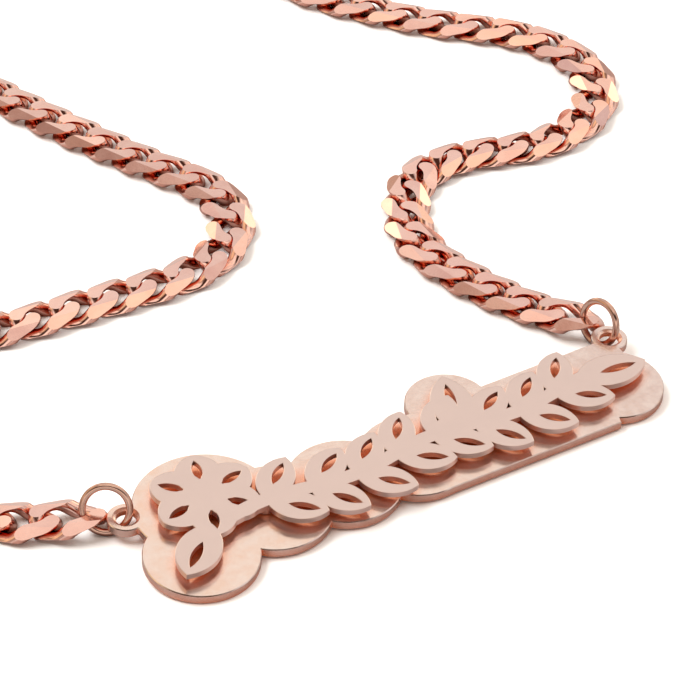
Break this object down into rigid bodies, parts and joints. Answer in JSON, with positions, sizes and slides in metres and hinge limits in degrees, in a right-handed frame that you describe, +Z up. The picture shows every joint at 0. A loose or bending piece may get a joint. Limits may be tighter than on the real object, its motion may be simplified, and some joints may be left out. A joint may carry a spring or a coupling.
{
  "type": "nameplate necklace",
  "caption": "Layered nameplate necklace: a lobed back plate with a raised pierced garland plate, hung by jump rings from a flat curb chain that lies in a wavy loop, with a clasp at the back.",
  "frame": {"origin": "middle of the laid-out necklace, on the surface it lies on", "axes": "+X along the nameplate towards its right end, +Y from the nameplate towards the clasp, +Z up off the surface"},
  "size_m": [0.0945, 0.1627, 0.0046],
  "materials": {
    "plate_metal": "satin-polished rose gold plating",
    "front_metal": "fine matte-satin rose gold plating",
    "ring_metal": "polished rose gold plating",
    "chain_metal": "mirror-polished rose gold plating"
  },
  "bodies": {
    "root": {"back_plate": "plate_metal", "front_plate": "front_metal", "jump_ring_left": "ring_metal", "jump_ring_right": "ring_metal", "chain_left": "chain_metal", "chain_right": "chain_metal", "clasp": "ring_metal", "clasp_ring_left": "ring_metal", "clasp_ring_right": "ring_metal"}
  },
  "joints": []
}
